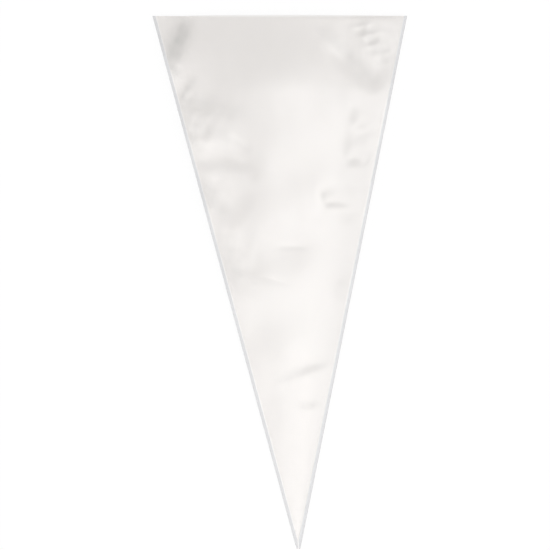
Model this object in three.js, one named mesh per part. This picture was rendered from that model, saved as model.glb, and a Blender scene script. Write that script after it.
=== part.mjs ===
// A cone-shaped sweet bag of clear film. It lies flat, with a little air between its two panels.
// Each panel is a triangle of film. A hot knife fused them to each other along both long sides
// and left a melted bead on the cut. The short side is the open mouth.
//
// Millimetres, +Z up. The bag lies on the plane z = 0, its mouth towards +Y and its tip towards -Y.
// The origin is on that plane, under the middle of the mouth's width and half-way down the length.
// Places along the bag are given as the distance from the mouth.

import * as THREE from 'three';

// Outline of the flat bag
const MOUTH_WIDTH = 177; // between the two cut edges, across the open end
const BAG_LENGTH = 371; // from the mouth to the tip, square to the mouth
const TIP_SHIFT = 13; // how far the tip lies to the right of the mouth's middle
const TIP_WIDTH = 2.6; // the tip is cut off square
const TIP_LAND = 5; // solid fused film between the point of the pocket and the tip

// Film and welds
const FILM = 0.035; // thickness of one panel
const WELD_WIDTH = 2.2; // fused strip along each side
const BEAD_WIDTH = 0.8; // melted bead on the outer edge of that strip
const BEAD_HEIGHT = 0.3;

// Air between the panels
const BELLY_AIR = 16; // height of the air where the bag is fullest
const BELLY_DISTANCE = 64;
const MOUTH_AIR = 8; // height of the air in the middle of the mouth
const SHOULDER_DROP = 34; // the belly starts this much farther down at the welds than in the middle
const CROWN_POWER = 2.4; // how flat the front panel is on top: 2 is a parabola
const WELD_SHARE = 0.36; // height of the welds above the floor, as a share of the air's height
const WELD_WAVE = 0.1; // the welds' waviness, as a share of their height
const WAVE_PITCH = 57;
const LYING_SHARE = 0.46; // share of the back panel's width that lies flat on the floor

// Puckers run in from the welds, because the hot knife shortened the film there.
// from: where a pucker leaves the weld. run: its length. lean: degrees from straight across towards
// the tip. bend: how far its inner end has turned towards the tip. width: half-width of its trough.
// depth: share of the front panel's height that it takes away, or adds where it is a ridge.
const LEFT_PUCKERS = [
  { from: 42, run: 36, lean: -64, bend: -2, width: 5, depth: -0.9 },
  { from: 46, run: 20, lean: 4, bend: 3, width: 4.5, depth: 0.5 },
  { from: 62, run: 54, lean: -5, bend: 3, width: 6, depth: 0.42 },
  { from: 75, run: 50, lean: -4, bend: 17, width: 4.2, depth: 0.45 },
  { from: 98, run: 46, lean: -13, bend: 19, width: 5.5, depth: 0.6 },
  { from: 112, run: 40, lean: 22, bend: 4, width: 5.5, depth: 0.5 },
  { from: 134, run: 26, lean: 30, bend: 0, width: 5, depth: 0.3 },
  { from: 158, run: 26, lean: 12, bend: 3, width: 5.5, depth: 0.34 },
  { from: 176, run: 30, lean: -4, bend: 6, width: 5, depth: 0.3 },
  { from: 226, run: 18, lean: 4, bend: 0, width: 5, depth: 0.34 },
];
const RIGHT_PUCKERS = [
  { from: 52, run: 78, lean: -27, bend: -12, width: 9, depth: 0.5 },
  { from: 75, run: 24, lean: 4, bend: 0, width: 4.5, depth: 0.4 },
  { from: 98, run: 28, lean: -2, bend: 0, width: 5, depth: 0.4 },
  { from: 129, run: 40, lean: -8, bend: 0, width: 5.5, depth: 0.5 },
  { from: 172, run: 26, lean: 6, bend: 0, width: 6, depth: 0.2 },
  { from: 237, run: 34, lean: 15, bend: 0, width: 5, depth: 0.42 },
  { from: 266, run: 18, lean: 10, bend: 0, width: 5, depth: 0.4 },
];
const PUCKER_RISE = 0.25; // a pucker grows from nothing over this share of its run
const PUCKER_FADE = 0.6; // and fades out again from this share on
const BACK_PINCH = 0.5; // how much of a trough the back panel shares, outside the part that lies flat

// Fineness of the surface
const MOUTH_CELL = 3.9; // spacing of the rows at the mouth
const TIP_CELL = 8; // and at the tip
const CROWDING = 0.45; // how much closer the columns stand at the welds, where the puckers are
const BACK_COLUMNS = 0.5; // the smoother back panel has this share of the front panel's columns

const { clamp, lerp, degToRad, smoothstep } = THREE.MathUtils;
const LEFT = -1;
const RIGHT = 1;

// The outline: x of a side's cut edge, and of the inner line of its weld
const pocketDepth = BAG_LENGTH - TIP_LAND;

function edgeX(side, distance) {
  return lerp((side * MOUTH_WIDTH) / 2, TIP_SHIFT + (side * TIP_WIDTH) / 2, distance / BAG_LENGTH);
}

const middleX = (distance) => (edgeX(LEFT, distance) + edgeX(RIGHT, distance)) / 2;

function weldX(side, distance) {
  const slant = Math.hypot(edgeX(side, BAG_LENGTH) - edgeX(side, 0), BAG_LENGTH) / BAG_LENGTH;
  const atMouth = edgeX(side, 0) - side * WELD_WIDTH * slant;
  return lerp(atMouth, middleX(pocketDepth), Math.min(distance / pocketDepth, 1));
}

const pocketWidth = (distance) => weldX(RIGHT, distance) - weldX(LEFT, distance);

// Height of the air in the middle of the pocket: a share of its width, which grows from the mouth to the
// belly. The share is taken at the distance called shoulder, the height for the width at distance.
function airHeight(distance, shoulder = distance) {
  const mouthShare = MOUTH_AIR / pocketWidth(0);
  const bellyShare = BELLY_AIR / pocketWidth(BELLY_DISTANCE);
  return lerp(mouthShare, bellyShare, smoothstep(shoulder, 0, BELLY_DISTANCE)) * pocketWidth(distance);
}

// Height of a weld's middle layer. The two welds' waves are a third of a turn apart.
function weldHeight(side, distance) {
  const turn = distance / WAVE_PITCH + side / 6;
  const wave = 1 + WELD_WAVE * Math.sin(2 * Math.PI * turn);
  return BEAD_HEIGHT / 2 + WELD_SHARE * airHeight(distance) * wave;
}

// A pucker's start on its weld, and the unit vectors along it and square to it. A plan is a vector of x
// and the distance from the mouth.
function layPucker(side, pucker) {
  const lean = degToRad(pucker.lean);
  const inward = new THREE.Vector2(-side * Math.cos(lean), Math.sin(lean));
  const aside = new THREE.Vector2(side * Math.sin(lean), Math.cos(lean));
  return { ...pucker, inward, aside, start: new THREE.Vector2(weldX(side, pucker.from), pucker.from) };
}

const PUCKERS = [
  ...LEFT_PUCKERS.map((pucker) => layPucker(LEFT, pucker)),
  ...RIGHT_PUCKERS.map((pucker) => layPucker(RIGHT, pucker)),
];

// Share of the front panel's height that the puckers take away. A pucker's middle line is a cubic,
// straight where it leaves the weld, and its section is a bell curve.
function troughAt(plan) {
  let trough = 0;
  for (const { start, inward, aside, run, bend, width, depth } of PUCKERS) {
    const offset = plan.clone().sub(start);
    const along = clamp(offset.dot(inward) / run, 0, 1);
    const across = (offset.dot(aside) - bend * along ** 3) / width;
    const taper = smoothstep(along, 0, PUCKER_RISE) * (1 - smoothstep(along, PUCKER_FADE, 1));
    trough += depth * taper * Math.exp(-(across ** 2));
  }
  return clamp(trough, -1, 0.75);
}

// Heights of the panels' inner faces, which meet on the welds. across is -1 on the left weld, 1 on the
// right one. The front panel is nowhere lower than the line between the welds, the back one nowhere higher.
function panelHeights(across, plan) {
  const distance = plan.y;
  const welds = lerp(weldHeight(LEFT, distance), weldHeight(RIGHT, distance), (across + 1) / 2);
  const trough = troughAt(plan);

  const crown = 1 - Math.abs(across) ** CROWN_POWER;
  const air = airHeight(distance, distance - SHOULDER_DROP * across ** 2);
  const front = welds + (1 - WELD_SHARE) * air * crown * (1 - trough);

  const outward = clamp((Math.abs(across) - LYING_SHARE) / (1 - LYING_SHARE), 0, 1);
  const lift = lerp(outward ** 2, outward, BACK_PINCH * Math.max(0, trough));
  return { front, back: lerp(FILM, welds, lift) };
}

// Gathers the points and triangles of one closed surface
class Skin {
  points = [];
  corners = [];

  point(x, distance, z) {
    this.points.push(x, BAG_LENGTH / 2 - distance, z);
    return this.points.length / 3 - 1;
  }

  triangle(a, b, c) {
    if (a !== b && b !== c && c !== a) this.corners.push(a, b, c);
  }

  // Triangles between two chains of points, which may differ in number and share their ends. Seen with both
  // running to the right and the first one above, they face the viewer, or away if they are turned. The
  // same points give the same triangles either way, so a wall's two faces stay parallel.
  band(upper, lower, turned = false) {
    let [i, j] = [0, 0];
    while (i < upper.length - 1 || j < lower.length - 1) {
      const upperLeads = (i + 1) * (lower.length - 1) <= (j + 1) * (upper.length - 1);
      const alongUpper = j === lower.length - 1 || (i < upper.length - 1 && upperLeads);
      const [a, b] = [upper[i], lower[j]];
      if (alongUpper) i += 1;
      else j += 1;
      const c = alongUpper ? upper[i] : lower[j];
      this.triangle(...(turned ? [b, a, c] : [a, b, c]));
    }
  }

  geometry() {
    const geometry = new THREE.BufferGeometry();
    geometry.setAttribute('position', new THREE.Float32BufferAttribute(this.points, 3));
    geometry.setIndex(this.corners);
    geometry.computeVertexNormals();
    return geometry;
  }
}

// One panel's points across the bag, left to right, on its inner and its outer face. The inner chain
// starts and ends with the points that the welds already have.
function addPanel(skin, distance, columns, welds, panel) {
  const outset = panel === 'front' ? FILM : -FILM;
  const inner = [];
  const outer = [];
  for (let i = 0; i <= columns; i++) {
    const even = columns === 0 ? 0 : (2 * i) / columns - 1;
    const across = lerp(even, Math.sin((even * Math.PI) / 2), CROWDING);
    const x = lerp(weldX(LEFT, distance), weldX(RIGHT, distance), (across + 1) / 2);
    const z = panelHeights(across, new THREE.Vector2(x, distance))[panel];
    const onWeld = { 0: welds[LEFT], [columns]: welds[RIGHT] }[i];
    inner.push(onWeld ?? skin.point(x, distance, z));
    outer.push(skin.point(x, distance, z + outset));
  }
  return { inner, outer };
}

// A weld's section, from the front panel's outer face round the bead to the back panel's
function addWeld(skin, side, distance, frontPoint, backPoint) {
  const edge = edgeX(side, distance);
  const z = weldHeight(side, distance);
  const foot = edge - side * BEAD_WIDTH;
  const crest = edge - (side * BEAD_WIDTH) / 2;
  return [
    frontPoint,
    skin.point(foot, distance, z + FILM),
    skin.point(crest, distance, z + BEAD_HEIGHT / 2),
    skin.point(edge, distance, z),
    skin.point(crest, distance, z - BEAD_HEIGHT / 2),
    skin.point(foot, distance, z - FILM),
    backPoint,
  ];
}

// All points at one distance. From the pocket's point to the tip, each chain is a single point.
function addRow(skin, distance, cell) {
  const inPocket = distance < pocketDepth;
  const columns = inPocket ? 2 * Math.max(1, Math.round(pocketWidth(distance) / cell / 2)) : 0;
  const backColumns = inPocket ? 2 * Math.max(1, Math.round((columns * BACK_COLUMNS) / 2)) : 0;
  const left = skin.point(weldX(LEFT, distance), distance, weldHeight(LEFT, distance));
  const right = inPocket ? skin.point(weldX(RIGHT, distance), distance, weldHeight(RIGHT, distance)) : left;
  const welds = { [LEFT]: left, [RIGHT]: right };
  const front = addPanel(skin, distance, columns, welds, 'front');
  const back = addPanel(skin, distance, backColumns, welds, 'back');
  return {
    front,
    back,
    welds,
    leftWeld: addWeld(skin, LEFT, distance, front.outer.at(0), back.outer.at(0)),
    rightWeld: addWeld(skin, RIGHT, distance, front.outer.at(-1), back.outer.at(-1)),
  };
}

// Where the rows stand in the pocket, each farther from the last one than that from the one before
function rowDistances() {
  const distances = [0];
  while (distances.at(-1) < pocketDepth) {
    const last = distances.at(-1);
    distances.push(last + cellAt(last));
  }
  const overshoot = distances.at(-1) / pocketDepth;
  return distances.map((distance) => distance / overshoot);
}

const cellAt = (distance) => lerp(MOUTH_CELL, TIP_CELL, distance / pocketDepth);

function joinRows(skin, near, far) {
  skin.band(near.front.outer, far.front.outer);
  skin.band(near.front.inner, far.front.inner, true);
  skin.band(near.back.inner, far.back.inner);
  skin.band(near.back.outer, far.back.outer, true);
  skin.band(near.rightWeld, far.rightWeld);
  skin.band(near.leftWeld, far.leftWeld, true);
}

// A weld's section as two chains that both end on the cut edge: its front half and its back half
function halves(weld, inner = []) {
  const edge = (weld.length - 1) / 2;
  return [
    [...inner, ...weld.slice(0, edge + 1)],
    [...inner, ...weld.slice(edge).reverse()],
  ];
}

// The film's thickness shows all round the open mouth
function closeMouth(skin, { front, back, welds, leftWeld, rightWeld }) {
  skin.band(front.inner, front.outer);
  skin.band(back.outer, back.inner);
  const [leftFront, leftBack] = halves(leftWeld, [welds[LEFT]]);
  skin.band(leftFront, leftBack);
  const [rightFront, rightBack] = halves(rightWeld, [welds[RIGHT]]);
  skin.band(rightBack, rightFront);
}

function closeTip(skin, { leftWeld, rightWeld }) {
  const [leftFront, leftBack] = halves(leftWeld);
  skin.band(leftBack, leftFront);
  const [rightFront, rightBack] = halves(rightWeld);
  skin.band(rightFront, rightBack);
}

function bagGeometry() {
  const skin = new Skin();
  const rows = rowDistances().map((distance) => addRow(skin, distance, cellAt(distance)));
  rows.push(addRow(skin, BAG_LENGTH, TIP_CELL));
  rows.slice(1).forEach((row, i) => joinRows(skin, rows[i], row));
  closeMouth(skin, rows.at(0));
  closeTip(skin, rows.at(-1));
  return skin.geometry();
}

const clearFilm = new THREE.MeshStandardMaterial({
  color: new THREE.Color(0.91, 0.9, 0.88),
  roughness: 0.1,
  metalness: 0,
  transparent: true,
  opacity: 0.35,
  side: THREE.DoubleSide,
});

const bag = new THREE.Mesh(bagGeometry(), clearFilm);
bag.name = 'film_bag';

const root = new THREE.Group();
root.add(bag);

export default root;
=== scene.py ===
"""A cone-shaped sweet bag of clear film, lying flat on a white table with a little air in it.

Metres, in the frame of the CAD part: the mouth towards +Y, the tip towards -Y, the table at z = 0.
Places along the bag are given as the distance from the mouth.
"""

import math

import bpy
import numpy as np
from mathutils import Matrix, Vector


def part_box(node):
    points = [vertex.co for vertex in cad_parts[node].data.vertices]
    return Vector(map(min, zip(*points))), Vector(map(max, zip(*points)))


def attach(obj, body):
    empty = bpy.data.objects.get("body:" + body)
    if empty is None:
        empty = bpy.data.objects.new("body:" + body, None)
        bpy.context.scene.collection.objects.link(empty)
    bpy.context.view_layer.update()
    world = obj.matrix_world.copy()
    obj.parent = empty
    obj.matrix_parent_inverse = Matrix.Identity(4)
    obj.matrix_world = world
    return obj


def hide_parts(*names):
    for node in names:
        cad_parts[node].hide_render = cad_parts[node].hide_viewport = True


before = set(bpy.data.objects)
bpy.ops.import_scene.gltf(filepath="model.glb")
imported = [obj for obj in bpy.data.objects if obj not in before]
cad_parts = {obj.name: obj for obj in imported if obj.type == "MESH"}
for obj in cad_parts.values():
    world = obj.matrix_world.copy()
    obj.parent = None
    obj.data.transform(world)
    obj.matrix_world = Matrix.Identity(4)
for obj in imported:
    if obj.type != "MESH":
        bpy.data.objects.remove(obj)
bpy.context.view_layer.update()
low, high = (np.array(corner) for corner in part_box("film_bag"))

MM = 0.001

# Outline of the flat bag
MOUTH_WIDTH = high[0] - low[0]
BAG_LENGTH = high[1] - low[1]
TIP_SHIFT = 13 * MM
TIP_WIDTH = 2.6 * MM
TIP_LAND = 5 * MM  # beyond the pocket's point the panels are fused from edge to edge
POCKET_DEPTH = BAG_LENGTH - TIP_LAND
POINT_WIDTH = 0.3 * MM  # the pocket is closed off where it is this narrow

# Film and welds
FILM = 0.035 * MM
PANEL_GAP = 3 * FILM  # least distance between the panels' inner faces
WELD_WIDTH = 2.2 * MM
BEAD_WIDTH = 0.8 * MM
BEAD_HEIGHT = 0.3 * MM
SEAM_SHARE = 0.3  # the strip turns grey over this share of its width

# Air between the panels
BELLY_AIR = 16 * MM
BELLY_DISTANCE = 64 * MM
MOUTH_AIR = 8 * MM
SHOULDER_DROP = 34 * MM
CROWN_POWER = 2.4
RISE_START = -8 * MM  # between these distances the air grows from the mouth's share to the belly's
RISE_END = 52 * MM
TIP_SINK = 0.4  # between these distances the air's share of the width falls by this much
SINK_START = 0.35 * BAG_LENGTH
SINK_END = 0.9 * BAG_LENGTH

# The welds lie at a share of the air's height, and wave along their length
WELD_SHARE = 0.36
WELD_WAVE = 0.1
WAVE_PITCH = 57 * MM
WAVE_SHIFT = 1 / 6  # part of a turn by which either weld's wave is shifted
LYING_SHARE = 0.46  # the back panel lies on the table over this share of its width

# Puckers: side, distance at the weld, run, lean in degrees, bend, width, and depth as a share of
# the front panel's height. Lengths in millimetres. A negative depth is a ridge.
PUCKERS = [
    (-1, 36, 54, -80, 0, 6, 1.1),
    (-1, 30, 18, 40, 0, 4, 0.3),
    (-1, 52, 24, -56, 0, 4, 0.25),
    (-1, 62, 26, 8, 0, 4, 0.32),
    (-1, 77, 20, 28, 0, 3.6, 0.35),
    (-1, 86, 50, -8, 12, 8, -0.05),
    (-1, 99, 50, -6, 17, 6, 0.3),
    (-1, 116, 42, 38, 2, 6, 0.24),
    (-1, 134, 26, 30, 0, 5, 0.2),
    (-1, 158, 26, 12, 3, 5.5, 0.2),
    (-1, 176, 30, -4, 6, 5, 0.2),
    (-1, 226, 18, 4, 0, 5, 0.08),
    (1, 54, 60, -36, -4, 7, 0.52),
    (1, 73, 26, 4, 0, 5, 0.42),
    (1, 99, 26, 0, 0, 5, 0.38),
    (1, 130, 36, -3, 0, 4.4, 0.42),
    (1, 172, 26, 6, 0, 6, 0.1),
    (1, 237, 34, 15, 0, 5, 0.42),
    (1, 266, 18, 10, 0, 5, 0.4),
]
PUCKER_RISE = 0.25  # share of its run over which a pucker grows to its full depth
PUCKER_FADE = 0.6  # share of its run after which it dies out
PUCKER_LIMITS = (-1, 0.75)  # for the sum of the puckers' depths
MOUTHWARD = 2.4  # a pucker is this much wider on its side towards the mouth
BACK_PINCH = 0.5  # share of a pucker's depth that draws the back panel in too

# Fine folds reach their full height where the air is at least this high
FINE_ROOM = 4 * MM

# Small sharp creases in the front panel, finer than the puckers: x and distance from the mouth at
# both ends, half-width and height in millimetres. A negative height is a groove.
CREASES = [
    (-27, 102, -17, 114, 1.6, -0.9),
    (-34, 84, -21, 94, 1.6, -0.6),
    (-58, 52, -66, 62, 1.8, -0.3),
    (-63, 80, -58, 86, 1.6, -0.6),
    (-70, 58, -62, 71, 1.6, 0.5),
    (-2, 160, 17, 161, 1.6, -0.45),
    (-14, 181, 7, 187, 1.8, -0.25),
    (58, 101, 63, 107, 1.6, -0.5),
    (30, 124, 34, 132, 1.6, -0.6),
    (-40, 160, -33, 176, 1.6, -0.4),
    (-36, 176, -24, 184, 1.4, 0.35),
    (0, 253, 36, 240, 4, -0.12),
]
CREASE_ROUNDNESS = 0.3  # share of the half-width over which a crease's line is rounded

# Crumpled patches, pinched into fine ridges, with grey painted in as the shade of their folds; some have
# no ridges and are painted shade alone.
# x and distance of the middle, long and short half-axes, slant of the long one in degrees, height of the
# ridges in millimetres, and strength of the painted shade
CRUMPLES_AND_SHADE = [
    (65, 18, 19, 6, 50, 0.55, 0.28),
    (49, 29, 30, 5, 44, 0, 0.3),
    (-71, 19, 17, 7, 111, 0, 0.9),
    (-64, 51, 9, 3, 125, 0.1, 0.45),
    (-74, 38, 6, 3, 45, 0.1, 0.35),
    (-48, 65, 24, 8, 12, 0.05, 0.3),
    (-49, 81, 19, 7, 18, 0, 0.3),
    (-62, 85, 6, 3, 40, 0.1, 0.28),
    (-45, 105, 19, 4.5, 4, 0, 0.22),
    (-45, 130, 17, 7, 50, 0.03, 0.32),
    (-36, 170, 24, 9, 68, 0.05, 0.25),
    (17, 247, 18, 4, -18, 0, 0.24),
    (20, 271, 7, 3.5, -5, 0, 0.24),
]
# Their ridges run three ways: steps along the long and the short axis, pitch and start of each
CRUMPLE_PITCH = 2 * MM
CRUMPLE_RIDGES = [
    (0, 1, CRUMPLE_PITCH, 0.4),
    (0.9, 0.4, 1.2 * CRUMPLE_PITCH, 2),
    (-0.8, 0.6, 1.6 * CRUMPLE_PITCH, 1.1),
]
RIDGE_LEVEL = 1.1  # mean of the three sets of ridges together
SHADE_VARIATION = 0.1  # how much the painted shade follows the ridges

# Gathers along the welds. They start clear of the weld, slant, and die out towards the tip.
GATHER_START = 2.5 * MM
GATHER_REACH = 11 * MM
GATHER_PITCH = 10 * MM
GATHER_HEIGHT = 0.8 * MM
GATHER_LEVEL = 0.4
GATHER_SLANT = 0.35
GATHER_FADE = 140 * MM
GATHER_SHIFTS = [(1.1, 31 * MM, 1), (0.8, 13 * MM, -1)]  # size, pitch and side of their unevenness
SWELL_SHARE = 0.45  # their height swells and shrinks by this share
SWELL_PITCH = 37 * MM
SWELL_SIDE = 2.2
SWELL_TURN = 0.6

# Slow waves all over the film: direction, pitch and start of four sines, lower towards the tip
SLACK_HEIGHT = 0.22 * MM
SLACK_WAVES = [(0.2, 8.5 * MM, 0.3), (1.2, 7 * MM, 1.7), (1.9, 10 * MM, 4), (2.8, 12 * MM, 5.2)]
SLACK_CALM = 0.6  # between these distances the waves lose this share of their height
CALM_START = 0.45 * BAG_LENGTH
CALM_END = 0.65 * BAG_LENGTH

# The cut edge at the mouth curls down
LIP_CURL = 0.9 * MM
LIP_REACH = 1.6 * MM

# Colours of the film, wall for wall: where it is clear, the painted shade of its crumpled folds, and
# where it is fused
TINT_LOW = (0.91, 0.895, 0.883)
TINT_HIGH = (0.932, 0.918, 0.907)
# Grey painted into the crumpled patches as the shade of their folds
PAINTED_FOLD_SHADE = (0.5, 0.5, 0.49)
WELD_TINT = (0.72, 0.72, 0.73)

# The film's gloss and the clouds in its tint, gloss and ripples: scale and detail of the noise
FILM_IOR = 1.5
ROUGHNESS = (0.03, 0.11)
RIPPLE_HEIGHT = 0.12 * MM
TINT_CLOUDS = (90, 3)
GLOSS_CLOUDS = (160, 4)
RIPPLE_CLOUDS = (70, 1)
CLOUD_SHAPE = (1, 0.3, 1)  # drawn out along the bag

# Fineness of the surface
ROWS = 310
ROW_GROWTH = 0.3  # rows stand closer at the mouth
FRONT_COLUMNS = 118
BACK_COLUMNS = 30
COLUMN_CROWDING = 0.4  # columns stand closer at the welds
BEAD_STEPS = 7
SHARP_ANGLE = math.radians(35)

# The table
TABLE_REACH = 3  # half the length of its side
TABLE_DROP = 0.2 * MM  # it lies this far below the film
TABLE_WHITE = (0.95, 0.95, 0.95, 1)
TABLE_GLOW = 0.94

# Strength of the sky overhead, against how far a direction leans to the bright side
BRIGHT_SIDE = (0.62, -0.785, 0)
SKY_STOPS = [
    (-0.8, 0.1),
    (-0.45, 0.25),
    (-0.2, 0.8),
    (0, 1.55),
    (0.1, 2.2),
    (0.3, 2.6),
    (0.48, 2.4),
    (0.65, 1.2),
    (0.8, 0.9),
]
SKY_PEAK = max(strength for _, strength in SKY_STOPS)
SKY_START = 0.35  # between these heights of a direction the horizon gives way to the sky
SKY_FULL = 0.75
HORIZON = 0.72
HORIZON_LEAN = 0.22

# The camera: the photograph's width in pixels and the bag's millimetres in one of them
PHOTO_WIDTH = 550
PIXEL = 0.697 * MM
CAMERA_PLACE = (-3.3 * MM, 5.3 * MM, 1.3)
SENSOR = 36


def smooth(value, start, end):
    """0 before start, 1 after end, and 3t^2 - 2t^3 of the share t between them."""
    t = np.clip((value - start) / (end - start), 0, 1)
    return t * t * (3 - 2 * t)


def edge_x(side, distance):
    """The cut edge: a straight line from the mouth's corner to the tip's."""
    t = distance / BAG_LENGTH
    return (1 - t) * side * MOUTH_WIDTH / 2 + t * (TIP_SHIFT + side * TIP_WIDTH / 2)


def weld_x(side, distance):
    """The weld's inner line: straight from one weld's width inside the corner to the pocket's point."""
    slant = math.hypot(edge_x(side, BAG_LENGTH) - edge_x(side, 0), BAG_LENGTH) / BAG_LENGTH
    start = edge_x(side, 0) - side * WELD_WIDTH * slant
    point = (edge_x(-1, POCKET_DEPTH) + edge_x(1, POCKET_DEPTH)) / 2
    t = np.minimum(distance / POCKET_DEPTH, 1)
    return (1 - t) * start + t * point


def pocket_width(distance):
    """Distance between the two welds' inner lines."""
    return weld_x(1, distance) - weld_x(-1, distance)


def air_height(distance, shoulder):
    """A share of the pocket's width, which grows smoothly from the mouth's share to the belly's."""
    mouth = MOUTH_AIR / pocket_width(0)
    belly = BELLY_AIR / pocket_width(BELLY_DISTANCE)
    share = mouth + (belly - mouth) * smooth(shoulder, RISE_START, RISE_END)
    sink = TIP_SINK * smooth(distance, SINK_START, SINK_END)
    return share * (1 - sink) * pocket_width(distance)


def weld_height(side, distance):
    """A share of the air's height, with a gentle sine along the weld."""
    wave = 1 + WELD_WAVE * np.sin(2 * math.pi * (distance / WAVE_PITCH + side * WAVE_SHIFT))
    return BEAD_HEIGHT / 2 + WELD_SHARE * air_height(distance, distance) * wave


def trough(x, distance):
    """Sum of the puckers: each is a bell curve across a cubic, which rises fast and dies out slowly."""
    total = np.zeros_like(x)
    for side, start, run, lean, bend, width, depth in PUCKERS:
        start, run, bend, width = start * MM, run * MM, bend * MM, width * MM
        angle = math.radians(lean)
        dx, dy = x - weld_x(side, start), distance - start
        along = np.clip((-side * math.cos(angle) * dx + math.sin(angle) * dy) / run, 0, 1)
        across = (side * math.sin(angle) * dx + math.cos(angle) * dy - bend * along**3) / width
        across = np.where(across < 0, across / MOUTHWARD, across)
        taper = smooth(along, 0, PUCKER_RISE) * (1 - smooth(along, PUCKER_FADE, 1))
        total += depth * taper * np.exp(-(across**2))
    return np.clip(total, *PUCKER_LIMITS)


def panel_heights(across, distance):
    """x and the inner faces of the front and the back panel, over across (-1 to 1) and distance."""
    t = (across + 1) / 2
    x = (1 - t) * weld_x(-1, distance) + t * weld_x(1, distance)
    welds = (1 - t) * weld_height(-1, distance) + t * weld_height(1, distance)
    dip = trough(x, distance)
    crown = 1 - np.abs(across) ** CROWN_POWER
    air = air_height(distance, distance - SHOULDER_DROP * across**2)
    clear = np.clip(crown * air / FINE_ROOM, 0, 1)
    fine = creases(x, distance) + crumple_and_shade(x, distance)[0]
    fine = fine + gathers(across, distance) + slack(x, distance)
    lip = LIP_CURL * np.exp(-((distance / LIP_REACH) ** 2))
    front = welds + (1 - WELD_SHARE) * air * crown * (1 - dip) + clear * (fine - lip)
    outward = np.clip((np.abs(across) - LYING_SHARE) / (1 - LYING_SHARE), 0, 1)
    share = BACK_PINCH * np.maximum(0, dip)
    lift = (1 - share) * outward**2 + share * outward
    back = FILM + (welds - FILM) * lift
    return x, np.maximum(front, back + PANEL_GAP), back


def ridged(phase):
    """Sharp ridges and round valleys between 0 and 1: one less the size of a sine."""
    return 1 - np.abs(np.sin(phase))


def creases(x, distance):
    """Sum of small folds: across its line each falls off as a pointed bell, along it as a flat one."""
    total = np.zeros_like(x)
    for x0, d0, x1, d1, width, height in CREASES:
        line = np.array([x1 - x0, d1 - d0]) * MM
        length = np.hypot(*line)
        ux, ud = line / length
        dx, dd = x - (x0 + x1) / 2 * MM, distance - (d0 + d1) / 2 * MM
        along = (dx * ux + dd * ud) / (length / 2)
        across = np.abs(-dx * ud + dd * ux) / (width * MM)
        pointed = np.exp(-across * across / (CREASE_ROUNDNESS + across))
        total += height * MM * np.exp(-(along**4)) * pointed
    return total


def crumple_and_shade(x, distance):
    """Height and painted shade: in each slanted oval, ridges in three directions under a bell curve, and
    grey painted in as the shade of their folds.
    """
    height, grey = np.zeros_like(x), np.zeros_like(x)
    for middle_x, middle_d, long_axis, short_axis, slant, ridge, shade_strength in CRUMPLES_AND_SHADE:
        dx, dd = x - middle_x * MM, distance - middle_d * MM
        cos, sin = math.cos(math.radians(slant)), math.sin(math.radians(slant))
        long, short = dx * cos + dd * sin, -dx * sin + dd * cos
        inside = np.exp(-((long / (long_axis * MM)) ** 4) - (short / (short_axis * MM)) ** 2)
        ridges = sum(
            ridged((a * long + b * short) / pitch + turn) for a, b, pitch, turn in CRUMPLE_RIDGES
        )
        height += ridge * MM * inside * (ridges - RIDGE_LEVEL)
        # Painted shade of the folds, laid over the oval and following the ridges a little
        grey += shade_strength * inside * (1 - SHADE_VARIATION + SHADE_VARIATION * (RIDGE_LEVEL - ridges))
    return height, np.clip(grey, 0, 1)


def gathers(across, distance):
    """Uneven ridges square to the welds, which die out a few millimetres from them."""
    from_weld = (1 - np.abs(across)) * pocket_width(distance) / 2
    side = np.sign(across)
    near = smooth(from_weld, 0, GATHER_START) * np.exp(-((from_weld / GATHER_REACH) ** 2))
    slant = distance + GATHER_SLANT * from_weld * side
    uneven = sum(size * np.sin(slant / pitch + turn * side) for size, pitch, turn in GATHER_SHIFTS)
    ridges = ridged(math.pi * slant / GATHER_PITCH + uneven)
    swell = np.sin(slant / SWELL_PITCH + SWELL_SIDE * side + SWELL_TURN)
    strong = 1 - SWELL_SHARE + SWELL_SHARE * swell
    tied = np.exp(-distance / GATHER_FADE)
    return GATHER_HEIGHT * near * strong * tied * (ridges - GATHER_LEVEL)


def slack(x, distance):
    """Slow waves that the film keeps from lying folded: four sines in directions of their own."""
    calm = 1 - SLACK_CALM * smooth(distance, CALM_START, CALM_END)
    return SLACK_HEIGHT * calm * sum(
        np.sin((math.cos(turn) * x + math.sin(turn) * distance) / pitch + start)
        for turn, pitch, start in SLACK_WAVES
    )


def grid_faces(first, rows, columns):
    """Quads between neighbouring rows of points, which are numbered from first and run round."""
    i = np.arange(rows - 1)[:, None]
    j = np.arange(columns)[None, :]
    k = (j + 1) % columns
    corners = (i * columns + j, (i + 1) * columns + j, (i + 1) * columns + k, i * columns + k)
    return first + np.stack(corners, axis=-1).reshape(-1, 4)


def make_mesh(name, points, faces, material):
    """An object of points and of faces with any number of corners, smooth but for its sharp edges."""
    mesh = bpy.data.meshes.new(name)
    mesh.from_pydata(points.tolist(), [], faces)
    mesh.validate()
    mesh.shade_smooth()
    mesh.set_sharp_from_angle(angle=SHARP_ANGLE)
    mesh.materials.append(material)
    piece = bpy.data.objects.new(name, mesh)
    bpy.context.scene.collection.objects.link(piece)
    return piece


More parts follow.
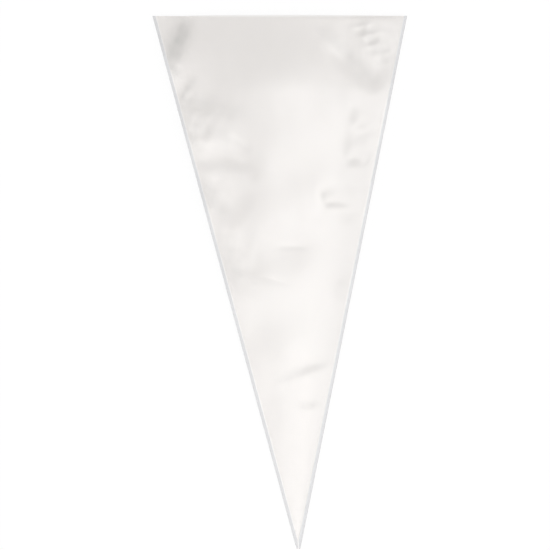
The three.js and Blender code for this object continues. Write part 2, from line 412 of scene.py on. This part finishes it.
def film_points():
    """The outer and the inner loop of the bag's section at each row, as two arrays of points.

    A loop runs over the front panel from left to right and back under the back panel. The outer one
    takes in the welds: strip, foot and crest of the bead, cut edge.
    """
    last = POCKET_DEPTH * (1 - POINT_WIDTH / pocket_width(0))
    share = np.linspace(0, 1, ROWS)
    distance = (last * ((1 - ROW_GROWTH) * share + ROW_GROWTH * share**2))[:, None]

    def panel(columns):
        even = np.linspace(-1, 1, columns)[None, :]
        across = (1 - COLUMN_CROWDING) * even + COLUMN_CROWDING * np.sin(even * math.pi / 2)
        x, front, back = panel_heights(across, distance)
        return x, np.broadcast_to(BAG_LENGTH / 2 - distance, x.shape), front, back

    def bead(side):
        edge = edge_x(side, distance)
        z = weld_height(side, distance)
        turns = np.linspace(0, math.pi, BEAD_STEPS)[None, :]
        round_x = edge - side * BEAD_WIDTH / 2 * (1 - np.sin(turns))
        foot = edge - side * BEAD_WIDTH
        strip = SEAM_SHARE * foot + (1 - SEAM_SHARE) * weld_x(side, distance)
        xs = np.hstack([strip, foot, round_x, foot, strip])
        crest = z + BEAD_HEIGHT / 2 * np.cos(turns)
        zs = np.hstack([z + FILM, z + FILM, crest, z - FILM, z - FILM])
        ys = np.broadcast_to(BAG_LENGTH / 2 - distance, xs.shape)
        return np.stack([xs, ys, zs], axis=-1)

    x, y, front, _ = panel(FRONT_COLUMNS)
    back_x, back_y, _, back = panel(BACK_COLUMNS)
    front_outer = np.stack([x, y, front + FILM], axis=-1)
    back_outer = np.stack([back_x, back_y, back - FILM], axis=-1)
    outer = np.concatenate([front_outer, bead(1), back_outer[:, ::-1], bead(-1)[:, ::-1]], axis=1)
    left, right = outer[-1, :, 0].min(), outer[-1, :, 0].max()
    tip = outer[-1:].copy()
    tip[..., 0] = TIP_SHIFT + (tip[..., 0] - (right + left) / 2) * (TIP_WIDTH / (right - left))
    tip[..., 1] = -BAG_LENGTH / 2
    outer = np.concatenate([outer, tip])
    front_inner = np.stack([x, y, front], axis=-1)
    back_inner = np.stack([back_x, back_y, back], axis=-1)
    inner = np.concatenate([front_inner, back_inner[:, -2:0:-1]], axis=1)
    return outer, inner


def make_bag(material):
    """Outer skin, inner skin turned inwards, the rim round the mouth, the pocket's point and the tip."""
    outer, inner = film_points()
    rows, around = outer.shape[:2]
    inner_rows, inner_around = inner.shape[:2]
    inside = rows * around
    front, back = FRONT_COLUMNS, BACK_COLUMNS
    bead = (around - front - back) // 2
    under = front + bead

    faces = grid_faces(0, rows, around).tolist()
    faces += grid_faces(inside, inner_rows, inner_around)[:, ::-1].tolist()
    faces += [[i, i + 1, inside + i + 1, inside + i] for i in range(front - 1)]
    inner_loop = [inside + (front - 1 + i) % inner_around for i in range(back)]
    for i in range(back - 1):
        faces.append([under + i, under + i + 1, inner_loop[i + 1], inner_loop[i]])
    faces.append([front - 1, *range(front, under), under, inner_loop[0]])
    faces.append([under + back - 1, *range(under + back, around), 0, inside])
    point = inside + (inner_rows - 1) * inner_around
    faces.append(list(range(point, point + inner_around)))
    tip = (rows - 1) * around
    faces.append(list(range(tip + around - 1, tip - 1, -1)))
    points = np.concatenate([outer.reshape(-1, 3), inner.reshape(-1, 3)])
    bag = make_mesh("film", points, faces, material)

    fused = np.zeros((rows, around))
    fused[:, front:under] = 1
    fused[:, under + back :] = 1
    # Painted shade of the crumpled folds, stored on the points for the material
    fold_shade = np.zeros((rows, around))
    fold_shade[:, :front] = crumple_and_shade(outer[:, :front, 0], BAG_LENGTH / 2 - outer[:, :front, 1])[1]
    for name, values in (("weld", fused), ("crumple_and_shade", fold_shade)):
        shares = np.zeros(len(points), np.float32)
        shares[: rows * around] = values.ravel()
        bag.data.attributes.new(name, "FLOAT", "POINT").data.foreach_set("value", shares)
    return bag


def film_material():
    """Clear glossy film with a faint warm grey tint, painted shade in its crumpled patches, grey welds,
    uneven gloss and fine ripples along the bag.
    """
    material = bpy.data.materials.new("clear_film")
    material.use_nodes = True
    nodes, links = material.node_tree.nodes, material.node_tree.links
    shader = nodes["Principled BSDF"]
    shader.inputs["IOR"].default_value = FILM_IOR
    shader.inputs["Transmission Weight"].default_value = 1

    place = nodes.new("ShaderNodeTexCoord")
    drawn = nodes.new("ShaderNodeMapping")
    drawn.inputs["Scale"].default_value = CLOUD_SHAPE
    links.new(place.outputs["Object"], drawn.inputs["Vector"])

    def cloud(scale, detail):
        noise = nodes.new("ShaderNodeTexNoise")
        noise.inputs["Scale"].default_value = scale
        noise.inputs["Detail"].default_value = detail
        links.new(drawn.outputs["Vector"], noise.inputs["Vector"])
        return noise.outputs["Fac"]

    def blend(share, low_colour, high_colour):
        mix = nodes.new("ShaderNodeMix")
        mix.data_type = "RGBA"
        links.new(share, mix.inputs["Factor"])
        for socket, colour in (("A", low_colour), ("B", high_colour)):
            target = next(i for i in mix.inputs if i.name == socket and i.type == "RGBA")
            if isinstance(colour, tuple):
                target.default_value = (*colour, 1)
            else:
                links.new(colour, target)
        return next(o for o in mix.outputs if o.type == "RGBA")

    def painted(name):
        attribute = nodes.new("ShaderNodeAttribute")
        attribute.attribute_name = name
        return attribute.outputs["Fac"]

    tint = blend(cloud(*TINT_CLOUDS), TINT_LOW, TINT_HIGH)
    # Grey painted into the crumpled patches as the shade of their folds
    tint = blend(painted("crumple_and_shade"), tint, PAINTED_FOLD_SHADE)
    tint = blend(painted("weld"), tint, WELD_TINT)
    links.new(tint, shader.inputs["Base Color"])

    gloss = nodes.new("ShaderNodeMapRange")
    gloss.inputs["To Min"].default_value, gloss.inputs["To Max"].default_value = ROUGHNESS
    links.new(cloud(*GLOSS_CLOUDS), gloss.inputs["Value"])
    links.new(gloss.outputs["Result"], shader.inputs["Roughness"])

    ripple = nodes.new("ShaderNodeBump")
    ripple.inputs["Strength"].default_value = 1
    ripple.inputs["Distance"].default_value = RIPPLE_HEIGHT
    links.new(cloud(*RIPPLE_CLOUDS), ripple.inputs["Height"])
    links.new(ripple.outputs["Normal"], shader.inputs["Normal"])
    return material


def worked_out(tree, operation, *values):
    """The result of a maths node on numbers and on the results of other nodes."""
    node = tree.nodes.new("ShaderNodeMath")
    node.operation = operation
    for socket, value in zip(node.inputs, values):
        if isinstance(value, (int, float)):
            socket.default_value = value
        else:
            tree.links.new(value, socket)
    return node.outputs["Value"]


def table_material():
    """A white table. Seen directly, in a reflection or through the film, it glows white."""
    material = bpy.data.materials.new("white_table")
    material.use_nodes = True
    tree = material.node_tree
    tree.nodes.clear()
    output = tree.nodes.new("ShaderNodeOutputMaterial")
    mix = tree.nodes.new("ShaderNodeMixShader")
    matt = tree.nodes.new("ShaderNodeBsdfDiffuse")
    matt.inputs["Color"].default_value = TABLE_WHITE
    glow = tree.nodes.new("ShaderNodeEmission")
    rays = tree.nodes.new("ShaderNodeLightPath").outputs
    seen = worked_out(tree, "MAXIMUM", rays["Is Camera Ray"], rays["Is Glossy Ray"])
    seen = worked_out(tree, "MAXIMUM", seen, rays["Is Transmission Ray"])
    tree.links.new(worked_out(tree, "MULTIPLY", seen, TABLE_GLOW), mix.inputs[0])
    tree.links.new(matt.outputs[0], mix.inputs[1])
    tree.links.new(glow.outputs[0], mix.inputs[2])
    tree.links.new(mix.outputs[0], output.inputs["Surface"])
    return material


def make_table():
    """A square of table far larger than the view."""
    turns = ((-1, -1), (1, -1), (1, 1), (-1, 1))
    corners = np.array([(x * TABLE_REACH, y * TABLE_REACH, -TABLE_DROP) for x, y in turns])
    return make_mesh("table", corners, [[0, 1, 2, 3]], table_material())


def light_world():
    """A soft light overhead, dim on the mouth's side, over a plain horizon; white where it is seen."""
    world = bpy.data.worlds.new("studio")
    bpy.context.scene.world = world
    world.use_nodes = True
    tree = world.node_tree
    background = tree.nodes["Background"]
    background.inputs["Color"].default_value = (1, 1, 1, 1)

    def mapped(value, start, end, shape="LINEAR"):
        node = tree.nodes.new("ShaderNodeMapRange")
        node.interpolation_type = shape
        node.inputs["From Min"].default_value = start
        node.inputs["From Max"].default_value = end
        tree.links.new(value, node.inputs["Value"])
        return node.outputs["Result"]

    where = tree.nodes.new("ShaderNodeTexCoord").outputs["Generated"]
    lean = tree.nodes.new("ShaderNodeVectorMath")
    lean.operation = "DOT_PRODUCT"
    lean.inputs[1].default_value = BRIGHT_SIDE
    tree.links.new(where, lean.inputs[0])
    height = tree.nodes.new("ShaderNodeSeparateXYZ")
    tree.links.new(where, height.inputs["Vector"])

    first, last = SKY_STOPS[0][0], SKY_STOPS[-1][0]
    ramp = tree.nodes.new("ShaderNodeValToRGB")
    ramp.color_ramp.interpolation = "CARDINAL"
    stops = ramp.color_ramp.elements
    for number, (place, level) in enumerate(SKY_STOPS):
        position = (place - first) / (last - first)
        stop = stops[0] if number == 0 else stops[-1] if place == last else stops.new(position)
        stop.color = (*[level / SKY_PEAK] * 3, 1)
    tree.links.new(mapped(lean.outputs["Value"], first, last), ramp.inputs["Fac"])

    overhead = worked_out(tree, "MULTIPLY", ramp.outputs["Color"], SKY_PEAK)
    horizon = worked_out(tree, "MULTIPLY_ADD", lean.outputs["Value"], HORIZON_LEAN, HORIZON)
    share = mapped(height.outputs["Z"], SKY_START, SKY_FULL, "SMOOTHSTEP")
    rise = worked_out(tree, "SUBTRACT", overhead, horizon)
    sky = worked_out(tree, "MULTIPLY_ADD", share, rise, horizon)
    seen = tree.nodes.new("ShaderNodeLightPath").outputs["Is Camera Ray"]
    to_white = worked_out(tree, "SUBTRACT", 1, sky)
    strength = worked_out(tree, "MULTIPLY_ADD", seen, to_white, sky)
    tree.links.new(strength, background.inputs["Strength"])


def place_camera():
    """Straight above, at the height where the lens takes in the photograph's width."""
    lens = bpy.data.cameras.new("camera")
    lens.lens = SENSOR * CAMERA_PLACE[2] / (PHOTO_WIDTH * PIXEL)
    lens.sensor_width = SENSOR
    camera = bpy.data.objects.new("camera", lens)
    camera.location = CAMERA_PLACE
    bpy.context.scene.collection.objects.link(camera)
    bpy.context.scene.camera = camera


make_table()
bag = make_bag(film_material())
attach(bag, "root")
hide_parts("film_bag")
light_world()
place_camera()
bpy.context.scene.view_settings.view_transform = "Standard"
